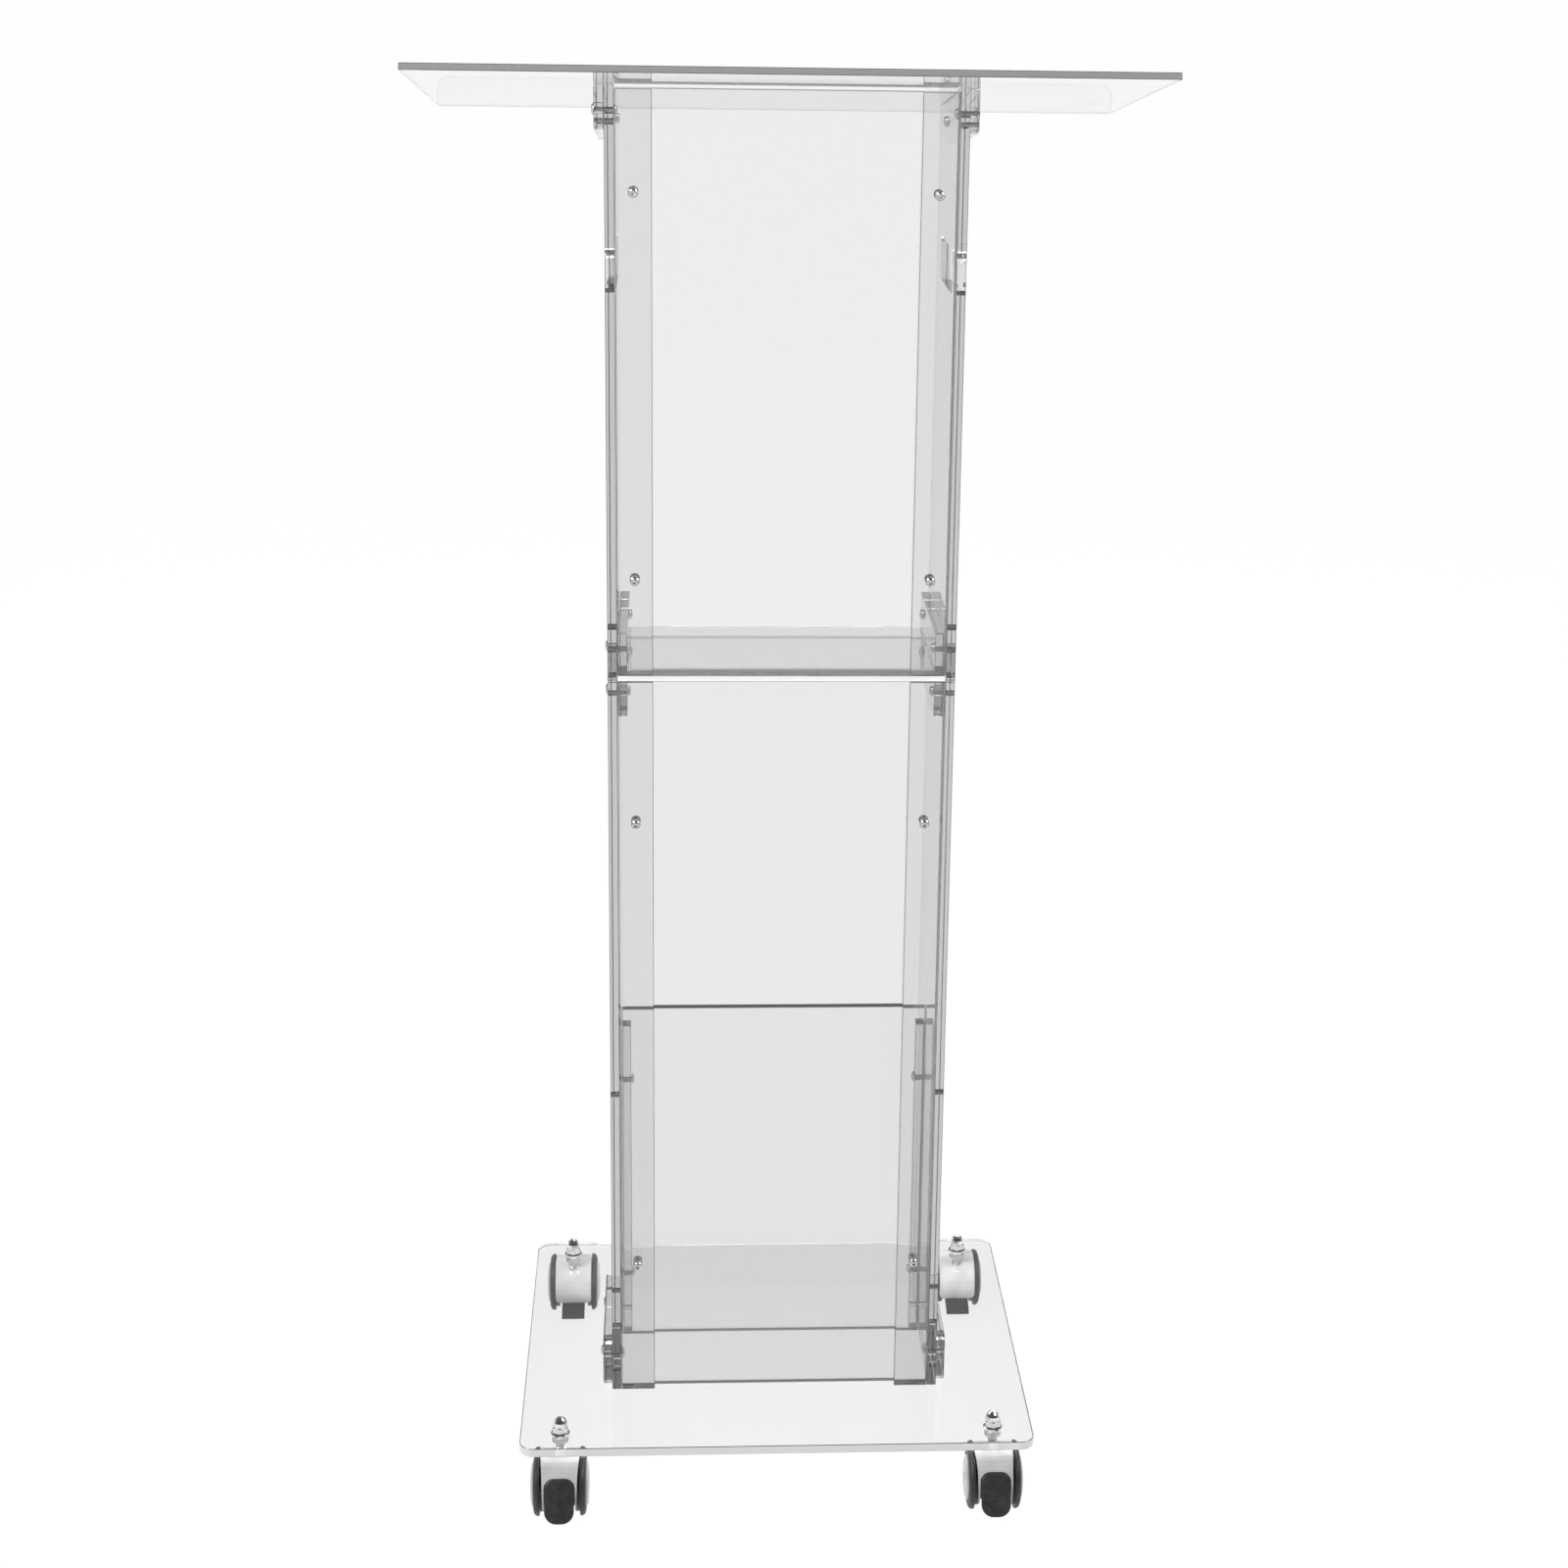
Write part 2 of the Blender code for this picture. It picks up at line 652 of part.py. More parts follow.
def caster_nut(prefix, spot):
    """Flanged acorn nut on the base plate, bored for the stem."""
    data = bmesh.new()
    hexagon = []
    for k in range(6):
        turn = math.radians(30 + 60 * k)
        hexagon.append((spot.x + NUT_RADIUS * math.cos(turn), spot.y + NUT_RADIUS * math.sin(turn)))
    extrude_outline(data, hexagon, "Z", NUT_LOW + 0.0010, NUT_LOW + NUT_FLATS_TOP)
    nut = add_object(prefix + "_nut", data, "chrome", smooth=30)
    for label, profile in (("dome", DOME_PROFILE), ("flange", FLANGE_PROFILE)):
        turned = bmesh.new()
        revolve(turned, profile, Matrix.Translation(spot), 18)
        add_boolean(nut, add_object(prefix + "_nut_" + label, turned, None), "UNION")
    add_boolean(nut, nut_bore)


def caster_body(prefix, spot, way):
    """Black centre body with a low toe on the stem side and bores for stem, axle and pins."""
    data = bmesh.new()
    outline = placed(BODY_OUTLINE, spot, way)
    extrude_outline(data, outline, "X", spot.x - BODY_HALF, spot.x + BODY_HALF)
    body = add_object(prefix + "_body", data, "black_plastic", smooth=35)
    toe_data = bmesh.new()
    toe = placed(TAB_OUTLINE, spot, way)
    extrude_outline(toe_data, toe, "X", spot.x - TOE_HALF, spot.x + TOE_HALF)
    add_boolean(body, add_object(prefix + "_toe", toe_data, None), "UNION")
    mouth = mouth_cutters[stem_spots.index(spot)]
    for tool in (socket_drill, axle_drill, pocket_cutter, mouth, barrel_drill, pin_drill):
        add_boolean(body, tool)


def caster_cover(prefix, spot, way):
    """Grey hood over the body, from low on the stem side to the two flanks of the pedal."""
    data = bmesh.new()
    rings = []
    for turn in COVER_TURNS:
        half = cover_half(turn)
        ring = []
        for radius, side in ((COVER_OUTSIDE, 1), (COVER_OUTSIDE, -1), (COVER_INSIDE, -1), (COVER_INSIDE, 1)):
            u = TRAIL + radius * math.cos(math.radians(turn))
            z = AXLE_Z + radius * math.sin(math.radians(turn))
            ring.append(data.verts.new((spot.x + side * half, spot.y + way * u, z)))
        rings.append(ring)
    for low, high in zip(rings, rings[1:]):
        for k in range(4):
            after = (k + 1) % 4
            data.faces.new((low[k], high[k], high[after], low[after]))
    data.faces.new(rings[0])
    data.faces.new(rings[-1])
    flatten_faces(data)
    cover = add_object(prefix + "_cover", data, "grey_plastic", smooth=35)
    mouth = mouth_cutters[stem_spots.index(spot)]
    for tool in (socket_drill, pocket_cutter, mouth, barrel_drill, pin_drill):
        add_boolean(cover, tool)


def caster_wheel(prefix, label, spot, side, way):
    """Wheel with a rounded tread, a shallow hub recess and a bore for the axle."""
    centre = spot + Vector((side * WHEEL_INNER, way * TRAIL, AXLE_Z))
    place = along("X", centre, flip=side < 0)
    data = bmesh.new()
    rings = []
    for radius, level in WHEEL_PROFILE:
        ring = []
        for k in range(36):
            turn = 2 * math.pi * k / 36
            point = Vector((radius * math.cos(turn), radius * math.sin(turn), level))
            ring.append(data.verts.new(place @ point))
        rings.append(ring)
    for low, high in zip(rings, rings[1:] + rings[:1]):
        for k in range(36):
            after = (k + 1) % 36
            data.faces.new((low[k], high[k], high[after], low[after]))
    add_object(prefix + "_wheel_" + label, data, "tread", smooth=40)


def caster_axle(prefix, spot, way):
    """Steel axle through both wheels and the body."""
    reach = WHEEL_INNER + WHEEL_WIDTH - 0.0012
    profile = [(0, -reach), (0.0030, -reach), (0.0030, reach), (0, reach)]
    data = bmesh.new()
    revolve(data, profile, along("X", spot + Vector((0, way * TRAIL, AXLE_Z))), 16)
    add_object(prefix + "_axle", data, "steel", smooth=40)


def caster_pedal(prefix, spot, way):
    """Brake pedal: a flat tongue with a barrel and two pins that turn in the body."""
    outline = rounded(
        rectangle(-PEDAL_HALF + 0.0002, PEDAL_TOP, PEDAL_HALF - 0.0002, PEDAL_LENGTH),
        [0.0080, 0.0080, 0.0105, 0.0105],
        6,
    )
    data = bmesh.new()
    extrude_outline(data, outline, "Z", 0.0016, 0.0052)
    pedal_place(data, spot, way)
    pedal = add_object(prefix + "_brake_pedal", data, "black_plastic", smooth=40)
    add_bevel(pedal, 0.0010, 2, 50)
    barrel_data = bmesh.new()
    hinge = spot + Vector((0, way * HINGE_U, HINGE_Z))
    revolve(barrel_data, BARREL_PROFILE, along("X", hinge), 16)
    add_boolean(pedal, add_object(prefix + "_pedal_barrel", barrel_data, None), "UNION")


corner_names = ("front_left", "front_right", "rear_left", "rear_right")
for corner_name, corner, way in zip(corner_names, stem_spots, ways):
    caster = "caster_" + corner_name
    caster_stem(caster, corner)
    caster_nut(caster, corner)
    caster_body(caster, corner, way)
    caster_cover(caster, corner, way)
    caster_wheel(caster, "left", corner, -1, way)
    caster_wheel(caster, "right", corner, 1, way)
    caster_axle(caster, corner, way)
    caster_pedal(caster, corner, way)
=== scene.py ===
"""Clear acrylic presentation lectern on four braked twin-wheel casters.

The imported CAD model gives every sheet, nut, stem and caster part. This script gives them their
finishes, adds the panel screws, side bolts and wheel hub covers, and sets a plain studio round them.
Lengths are in metres, in the frame of the CAD model.
"""

import math

import bmesh
import bpy
from mathutils import Matrix, Vector


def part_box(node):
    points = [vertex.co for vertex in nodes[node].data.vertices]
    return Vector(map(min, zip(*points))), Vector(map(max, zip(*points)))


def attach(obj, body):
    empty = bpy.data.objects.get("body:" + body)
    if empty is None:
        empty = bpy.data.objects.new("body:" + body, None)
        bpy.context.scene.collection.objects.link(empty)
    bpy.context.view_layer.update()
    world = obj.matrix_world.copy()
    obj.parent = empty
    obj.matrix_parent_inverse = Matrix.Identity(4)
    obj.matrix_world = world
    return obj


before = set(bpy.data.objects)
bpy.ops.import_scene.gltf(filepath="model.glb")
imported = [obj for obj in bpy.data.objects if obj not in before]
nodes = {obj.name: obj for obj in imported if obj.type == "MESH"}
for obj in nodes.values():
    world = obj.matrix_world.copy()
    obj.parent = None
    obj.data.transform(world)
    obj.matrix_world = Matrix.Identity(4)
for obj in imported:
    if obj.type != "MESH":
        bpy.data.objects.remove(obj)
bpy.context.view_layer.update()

# camera on the audience side, with its turns in radians
CAMERA_PLACE = (-0.0887, -2.4579, 1.3962)
CAMERA_YAW, CAMERA_PITCH, CAMERA_ROLL = -0.0621, -0.2854, -0.0173
CAMERA_LENS = 67.1
CAMERA_SENSOR = 36.0
CAMERA_SHIFT = (-0.0424, -0.0438)

# clear sheet: a grey tone takes its part at the faces, the absorption along the path inside; each sheet's
# tone is partly the acrylic's faint grey and partly painted shade, set apart per sheet to paint in how
# light or dark that sheet looks, so one acrylic has lit and shaded copies
FRONT_TINT_AND_SHADE, LOWER_TINT_AND_SHADE, INNER_TINT_AND_SHADE = 0.86, 0.81, 0.96
CROSS_TINT_AND_SHADE, BASE_TINT_AND_SHADE, PLATE_TINT_AND_SHADE = 0.78, 0.97, 0.88
ACRYLIC_IOR = 1.49
ABSORPTION_COLOUR = (0.80, 0.80, 0.80, 1.0)
SHEET_DENSITY, THIN_DENSITY = 9.0, 18.0
# satin cut edges: their tones, and how much of such an edge isn't clear
BASE_EDGE_TONE, PLATE_EDGE_TONE = 0.92, 0.34
EDGE_SATIN = 0.75
# chamfers: faces whose normal has a part between these along the sheet's own axis
CHAMFER_FROM, CHAMFER_TO = 0.43, 0.87
# painted shade: polished chamfers show dark by refraction, so they are coloured this dark grey and made
# partly opaque
CHAMFER_PAINTED_SHADE, CHAMFER_CLEAR = 0.10, 0.30

# fasteners, as (shank radius, head radius, rise of the head)
SCREW_SIZE = (0.0020, 0.0042, 0.0028)
BOLT_SIZE = (0.0025, 0.0050, 0.0026)
FASTENER_SEGMENTS = 24
# gap under a head
SEAT = 0.0002
# blind end: length of its tip, and the tip's share of the shank's radius
BLIND_TIP, BLIND_TAPER = 0.0004, 0.8
# domed, socketed head: shares of its radius, and of its rise down from the crown
HEAD_PROFILE = (
    (0.00, 0.62),
    (0.34, 0.62),
    (0.38, 0.06),
    (0.46, 0.00),
    (0.66, 0.12),
    (0.84, 0.36),
    (0.96, 0.66),
    (1.00, 0.88),
)

# where the fasteners stand: X from the middle, depth behind the column's front, and level
# above the base plate
SCREW_X = 0.123
SCREW_LEVELS = (0.123, 0.5365, 0.749, 1.068)
SPLICE_DEPTHS, SPLICE_LEVELS = (0.036, 0.150), (0.646, 0.684)
BRACKET_FRONT_DEPTH, BRACKET_REAR_DEPTH = 0.034, 0.126
BASE_BOLT_LEVEL = 0.022
CLEAT_DEPTH, CLEAT_LEVELS = 0.1248, (0.058, 0.253)
# level of the reading plate's underside at its front edge, and the drop of the top bracket bolts from it
PLATE_SLOPE = math.radians(8.66)
PLATE_UNDERSIDE = 1.1690
TOP_BOLT_DROP = 0.0175

# hub covers: (radius, rise) along the wheel's own axis from the floor of its recess
HUB_RECESS = 0.0012
HUB_RADIUS = 0.0200
HUB_SEGMENTS = 48
HUB_PROFILE = (
    (0.0000, 0.0027),
    (0.0026, 0.0027),
    (0.0030, 0.0023),
    (0.0040, 0.0023),
    (0.0044, 0.0032),
    (0.0080, 0.0035),
    (0.0120, 0.0035),
    (0.0150, 0.0033),
    (0.0172, 0.0028),
    (0.0188, 0.0021),
    (0.0197, 0.0012),
    (HUB_RADIUS, 0.0003),
    (HUB_RADIUS, 0.0001),
    (0.0000, 0.0001),
)

# a lathe profile's point nearer the axis than this is one vertex
ON_AXIS = 1e-7

SIDES = ((-1, "left"), (1, "right"))
CORNERS = ("front_left", "front_right", "rear_left", "rear_right")

# edges that turn by more than this many degrees stay sharp
SHARP_ANGLE, HUB_SHARP_ANGLE = 30.0, 40.0

# studio: floor, sky brightness as (sine of elevation, level) stops, and lights
FLOOR_GLOW = 0.985
FLOOR_SIZE = 30.0
SKY_BEHIND_OBJECT = ((0.12, 1.0), (0.26, 0.60), (0.42, 0.28), (1.0, 0.15))
SKY_BEHIND_CAMERA = ((0.05, 1.0), (0.16, 0.30), (0.40, 0.08), (1.0, 0.10))
SKY_BLEND_FROM, SKY_BLEND_TO = -0.25, 0.35
SOFTBOXES = (
    # name, place, target, size, power
    ("key_softbox", (-2.4, -1.8, 3.2), (0, 0, 0.6), (1.6, 1.2), 120.0),
    ("fill_softbox", (2.6, -0.6, 2.8), (0, 0, 0.6), (1.2, 1.6), 70.0),
    ("back_softbox", (0.4, 2.6, 2.6), (0, 0, 0.8), (2.0, 0.8), 40.0),
)
# colour sockets of a mix node, whose names repeat for each type it can mix
MIX_FACTOR, MIX_FIRST, MIX_SECOND, MIX_RESULT = 0, 6, 7, 2
DEEP_BOUNCES, GLOSSY_BOUNCES = 32, 16


# ---------------------------------------------------------------- material helpers
class Shader:
    """A material being wired: a principled shader, and object coordinates in metres."""

    def __init__(self, name):
        self.material = bpy.data.materials.new(name)
        self.material.use_nodes = True
        self.tree = self.material.node_tree
        self.tree.nodes.clear()
        self.output = self.add("ShaderNodeOutputMaterial")
        self.principled = self.add("ShaderNodeBsdfPrincipled")
        self.link(self.principled, "BSDF", self.output, "Surface")
        self.coords = self.add("ShaderNodeTexCoord")

    def add(self, kind, **settings):
        made = self.tree.nodes.new(kind)
        for key, value in settings.items():
            setattr(made, key, value)
        return made

    def link(self, source, out, target, into):
        self.tree.links.new(source.outputs[out], target.inputs[into])

    def set(self, **values):
        for key, value in values.items():
            self.principled.inputs[key.replace("_", " ")].default_value = value

    def mapped(self, scale, turn=(0, 0, 0)):
        """Object coordinates scaled and turned, to stretch a pattern."""
        mapping = self.add("ShaderNodeMapping")
        mapping.inputs["Scale"].default_value = scale
        mapping.inputs["Rotation"].default_value = turn
        self.link(self.coords, "Object", mapping, "Vector")
        return mapping

    def noise(self, scale, detail=3.0, source=None):
        made = self.add("ShaderNodeTexNoise")
        made.inputs["Scale"].default_value = scale
        made.inputs["Detail"].default_value = detail
        if source is None:
            self.link(self.coords, "Object", made, "Vector")
        else:
            self.link(source, "Vector", made, "Vector")
        return made

    def spread(self, source, low, high, to_low, to_high):
        """A noise value from low..high spread over to_low..to_high."""
        made = self.add("ShaderNodeMapRange")
        limits = {"From Min": low, "From Max": high, "To Min": to_low, "To Max": to_high}
        for key, value in limits.items():
            made.inputs[key].default_value = value
        self.link(source, 0, made, "Value")
        return made

    def two_tone(self, source, low, high, dark, light):
        """A colour between dark and light as the source goes from low to high."""
        ramp = self.add("ShaderNodeValToRGB")
        first, last = ramp.color_ramp.elements
        first.position, last.position = low, high
        first.color, last.color = (*dark, 1.0), (*light, 1.0)
        self.link(source, 0, ramp, "Fac")
        return ramp

    def bump(self, source, strength, distance):
        made = self.add("ShaderNodeBump")
        made.inputs["Strength"].default_value = strength
        made.inputs["Distance"].default_value = distance
        self.link(source, 0, made, "Height")
        self.link(made, "Normal", self.principled, "Normal")


def banded(made, source, edge, line, face):
    """Three values by how squarely a surface faces the sheet's own axis: edge, chamfer, face."""
    ramp = made.add("ShaderNodeValToRGB")
    ramp.color_ramp.interpolation = "CONSTANT"
    ramp.color_ramp.elements.new(CHAMFER_FROM)
    bands = ((0.0, edge), (CHAMFER_FROM, line), (CHAMFER_TO, face))
    for element, (position, value) in zip(ramp.color_ramp.elements, bands):
        element.position = position
        element.color = (value, value, value, 1.0)
    made.link(source, 0, ramp, "Fac")
    return ramp


def acrylic(name, axis, turn, tint_and_shade, density, edge_tone=None):
    """Cast clear sheet: hairline wiping scratches and faint smears in its polish, and painted shade on its
    chamfers, which are coloured dark grey and made partly opaque.

    The axis is the one the sheet's broad faces look along. With an edge tone, its cut edges are
    satin: part clear, part in that tone.
    """
    made = Shader(name)
    made.set(IOR=ACRYLIC_IOR)
    hairs = made.noise(scale=1.0, detail=2.0, source=made.mapped((900.0, 14.0, 14.0), turn))
    smears = made.noise(scale=9.0, detail=4.0)
    fine = made.spread(hairs, low=0.66, high=0.74, to_low=0.0, to_high=0.05)
    wide = made.spread(smears, low=0.45, high=0.75, to_low=0.004, to_high=0.022)
    total = made.add("ShaderNodeMath", operation="ADD")
    made.link(fine, 0, total, 0)
    made.link(wide, 0, total, 1)
    made.link(total, 0, made.principled, "Roughness")
    made.bump(made.noise(scale=14.0, detail=1.0), strength=0.05, distance=0.0004)
    geometry = made.add("ShaderNodeNewGeometry")
    parts = made.add("ShaderNodeSeparateXYZ")
    made.link(geometry, "True Normal", parts, 0)
    square = made.add("ShaderNodeMath", operation="ABSOLUTE")
    made.link(parts, axis, square, 0)
    edge_clear = 1.0 if edge_tone is None else 1.0 - EDGE_SATIN
    # painted shade on chamfers: this band makes them partly opaque, and the colour band below makes them
    # dark grey
    clear = banded(made, square, edge_clear, CHAMFER_CLEAR, 1.0)
    made.link(clear, "Color", made.principled, "Transmission Weight")
    # painted shade: the face colour is the sheet's own grey tone with the painted shade set for that sheet
    colour = banded(made, square, edge_tone or tint_and_shade, CHAMFER_PAINTED_SHADE, tint_and_shade)
    made.link(colour, "Color", made.principled, "Base Color")
    absorption = made.add("ShaderNodeVolumeAbsorption")
    absorption.inputs["Color"].default_value = ABSORPTION_COLOUR
    absorption.inputs["Density"].default_value = density
    made.link(absorption, "Volume", made.output, "Volume")
    return made.material


def chrome(name, dark, light, smooth, dull):
    """Bright plated metal with a soft haze and fine handling marks."""
    made = Shader(name)
    made.set(Metallic=1.0)
    haze = made.noise(scale=420.0, detail=4.0)
    colour = made.two_tone(haze, low=0.35, high=0.75, dark=(dark,) * 3, light=(light,) * 3)
    made.link(colour, "Color", made.principled, "Base Color")
    marks = made.noise(scale=1500.0)
    rough = made.spread(marks, low=0.3, high=0.7, to_low=smooth, to_high=dull)
    made.link(rough, 0, made.principled, "Roughness")
    made.bump(made.noise(scale=700.0), strength=0.12, distance=0.0002)
    return made.material


def turned_steel(name):
    """Zinc-bright steel with fine marks in layers along Z, as turning leaves them on an upright stem."""
    made = Shader(name)
    made.set(Metallic=1.0)
    rings = made.noise(scale=1.0, source=made.mapped((60.0, 60.0, 3200.0)))
    colour = made.two_tone(rings, low=0.3, high=0.7, dark=(0.42, 0.42, 0.43), light=(0.63, 0.63, 0.64))
    made.link(colour, "Color", made.principled, "Base Color")
    rough = made.spread(rings, low=0.3, high=0.7, to_low=0.20, to_high=0.38)
    made.link(rough, 0, made.principled, "Roughness")
    made.bump(rings, strength=0.25, distance=0.0001)
    return made.material


def moulded(name, dark, light, rough, grain, depth, sheen=0.0):
    """Moulded plastic: even grain, colour that wanders a little, and scuffs that dull it."""
    made = Shader(name)
    made.set(IOR=1.5, Specular_IOR_Level=0.5, Coat_Weight=sheen, Coat_Roughness=0.25)
    wander = made.noise(scale=60.0, detail=5.0)
    colour = made.two_tone(wander, low=0.35, high=0.68, dark=dark, light=light)
    made.link(colour, "Color", made.principled, "Base Color")
    scuffs = made.noise(scale=1.0, source=made.mapped((160.0, 900.0, 160.0), (0.3, 0.2, 0.6)))
    dull = made.spread(scuffs, low=0.45, high=0.72, to_low=rough, to_high=rough + 0.22)
    made.link(dull, 0, made.principled, "Roughness")
    made.bump(made.noise(scale=grain, detail=4.0), strength=depth, distance=0.0002)
    return made.material


def studio_floor(name):
    """White floor that glows evenly, with a little real light and shade on top."""
    made = Shader(name)
    made.set(Roughness=0.9, Specular_IOR_Level=0.0)
    mottle = made.noise(scale=3.0, detail=2.0)
    colour = made.two_tone(mottle, low=0.3, high=0.7, dark=(0.030,) * 3, light=(0.034,) * 3)
    made.link(colour, "Color", made.principled, "Base Color")
    made.set(Emission_Color=(1.0, 1.0, 1.0, 1.0), Emission_Strength=FLOOR_GLOW)
    return made.material


# ---------------------------------------------------------------- mesh helpers
def link_object(name, data, material, sharp_angle=SHARP_ANGLE):
    """A bmesh as a named object with its material, smooth apart from its sharp edges."""
    bmesh.ops.recalc_face_normals(data, faces=data.faces)
    for edge in data.edges:
        faces = edge.link_faces
        if len(faces) == 2:
            bend = faces[0].normal.angle(faces[1].normal, 0.0)
            edge.smooth = bend <= math.radians(sharp_angle)
    for face in data.faces:
        face.smooth = True
    mesh = bpy.data.meshes.new(name)
    data.to_mesh(mesh)
    data.free()
    mesh.materials.append(material)
    made = bpy.data.objects.new(name, mesh)
    bpy.context.scene.collection.objects.link(made)
    return made


def lathe(profile, place, segments):
    """Closed body of revolution: (radius, level) points from axis to axis, turned about local Z."""
    data = bmesh.new()
    rings = []
    for radius, level in profile:
        count = 1 if radius < ON_AXIS else segments
        ring = []
        for k in range(count):
            turn = 2 * math.pi * k / segments
            point = Vector((radius * math.cos(turn), radius * math.sin(turn), level))
            ring.append(data.verts.new(place @ point))
        rings.append(ring)
    for low, high in zip(rings, rings[1:]):
        for k in range(segments):
            after = (k + 1) % segments
            under = [low[k % len(low)], low[after % len(low)]]
            over = [high[after % len(high)], high[k % len(high)]]
            corners = list(dict.fromkeys(under + over))
            if len(corners) > 2:
                data.faces.new(corners)
    return data


def axis_place(origin, direction):
    """Frame at origin whose local Z points along direction."""
    turn = Vector(direction).to_track_quat("Z", "Y").to_matrix().to_4x4()
    return Matrix.Translation(Vector(origin)) @ turn


def button_head(head, rise, sign, grip_end):
    """Profile of a head past one end of the grip, from the axis out to its seat."""
    top = grip_end + sign * rise
    points = [(head * across, top - sign * rise * down) for across, down in HEAD_PROFILE]
    return points + [(head, grip_end + sign * SEAT)]


def through_fastener(name, start, direction, grip, size, both_heads=True):
    """Domed fastener through a stack of sheets.

    It has a head at the start. The far end has a second head past the grip, or a blind tip.
    """
    shank, head, rise = size
    near = button_head(head, rise, -1, 0.0)
    if both_heads:
        shaft = [(shank, -SEAT), (shank, grip + SEAT)]
        far = list(reversed(button_head(head, rise, 1, grip)))
    else:
        shaft = [(shank, -SEAT), (shank, grip - BLIND_TIP), (shank * BLIND_TAPER, grip)]
        far = [(0.0, grip)]
    data = lathe(near + shaft + far, axis_place(start, direction), FASTENER_SEGMENTS)
    made = link_object(name, data, finishes["fastener"])
    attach(made, "frame")


# ---------------------------------------------------------------- finishes on the CAD nodes
finishes = {
    # the clear sheets are copies of one acrylic whose face tones carry painted shade, each as light or
    # dark as that sheet looks
    "front": acrylic("clear_sheet_front", "Y", (0.0, 0.2, 0.9), FRONT_TINT_AND_SHADE, SHEET_DENSITY),
    "lower": acrylic("clear_sheet_lower", "Y", (0.3, 0.2, 0.7), LOWER_TINT_AND_SHADE, SHEET_DENSITY),
    "inner": acrylic("clear_sheet_inner", "Y", (0.5, 0.2, 0.3), INNER_TINT_AND_SHADE, SHEET_DENSITY),
    "cross": acrylic("clear_sheet_side", "X", (0.4, 1.3, 0.1), CROSS_TINT_AND_SHADE, SHEET_DENSITY),
    "base": acrylic("clear_sheet_base", "Z", (0.2, 0.1, 0.5), BASE_TINT_AND_SHADE, SHEET_DENSITY, BASE_EDGE_TONE),
    "plate": acrylic("clear_sheet_plate", "Z", (0.2, 0.1, 1.2), PLATE_TINT_AND_SHADE, THIN_DENSITY, PLATE_EDGE_TONE),
    "stop": acrylic("clear_sheet_stop", "Y", (0.1, 0.4, 1.2), PLATE_TINT_AND_SHADE, THIN_DENSITY),
    "chrome": chrome("polished_chrome", dark=0.72, light=0.90, smooth=0.03, dull=0.10),
    "fastener": chrome("nickel_plate", dark=0.46, light=0.62, smooth=0.14, dull=0.30),
    "steel": turned_steel("bright_turned_steel"),
    "tread": moulded(
        "black_nylon_tread",
        dark=(0.012, 0.012, 0.013),
        light=(0.024, 0.024, 0.025),
        rough=0.42,
        grain=1400.0,
        depth=0.35,
    ),
    "black": moulded(
        "black_moulded_nylon",
        dark=(0.014, 0.014, 0.015),
        light=(0.028, 0.028, 0.029),
        rough=0.36,
        grain=900.0,
        depth=0.30,
    ),
    "grey": moulded(
        "grey_moulded_cover",
        dark=(0.40, 0.40, 0.41),
        light=(0.48, 0.48, 0.49),
        rough=0.30,
        grain=700.0,
        depth=0.15,
        sheen=0.3,
    ),
    "hub": moulded(
        "grey_moulded_hub",
        dark=(0.34, 0.34, 0.35),
        light=(0.42, 0.42, 0.43),
        rough=0.30,
        grain=700.0,
        depth=0.15,
        sheen=0.3,
    ),
}
FINISH_BY_ENDING = (
    ("_nut", "chrome"),
    ("_stem", "steel"),
    ("_axle", "steel"),
    ("_wheel_left", "tread"),
    ("_wheel_right", "tread"),
    ("_body", "black"),
    ("_brake_pedal", "black"),
    ("_cover", "grey"),
)
CROSS_SHEETS = ("side_panel", "cleat", "splice", "top_bracket", "base_bracket")
# which lit or shaded copy of the clear sheet each sheet part gets
SHEET_FINISH = {
    "base_plate": "base",
    "mid_shelf": "base",
    "reading_plate": "plate",
    "paper_stop": "stop",
    "front_panel_lower": "lower",
    "inner_panel": "inner",
    "shelf_rib": "inner",
}

for node_name, node in nodes.items():
    is_sheet = not node_name.startswith("caster")
    if is_sheet:
        plain = "cross" if node_name.startswith(CROSS_SHEETS) else "front"
        finish = SHEET_FINISH.get(node_name, plain)
        node.visible_shadow = False
    else:
        finish = next(kind for ending, kind in FINISH_BY_ENDING if node_name.endswith(ending))
    node.data.materials.clear()
    node.data.materials.append(finishes[finish])

# ---------------------------------------------------------------- panel screws
base_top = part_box("base_plate")[1].z
column_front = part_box("corner_strip_left_lower")[0].y
panel_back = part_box("front_panel_lower")[1].y
for row, screw_level in enumerate(SCREW_LEVELS):
    for side, side_name in SIDES:
        through_fastener(
            "panel_screw_" + side_name + "_" + str(row + 1),
            (side * SCREW_X, column_front, base_top + screw_level),
            (0, 1, 0),
            panel_back - column_front,
            SCREW_SIZE,
        )


# ---------------------------------------------------------------- side bolts
def reach(node_name):
    """How far a node's inner and outer faces stand from the middle of the lectern."""
    low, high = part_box(node_name)
    return sorted((abs(low.x), abs(high.x)))


def side_bolts(label, partner, spots, inside, side, side_name):
    """Bolts through a side panel and the partner sheet on its inner or outer face.

    A spot is the depth behind the column's front, the height, and whether both ends have heads.
    """
    panel_inner, panel_outer = reach("side_panel_" + side_name + "_lower")
    partner_inner, partner_outer = reach(partner + "_" + side_name)
    inner = partner_inner if inside else panel_inner
    outer = panel_outer if inside else partner_outer
    for number, (depth, height, both_heads) in enumerate(spots):
        through_fastener(
            label + "_bolt_" + side_name + "_" + str(number + 1),
            (side * outer, column_front + depth, height),
            (-side, 0, 0),
            outer - inner,
            BOLT_SIZE,
            both_heads,
        )


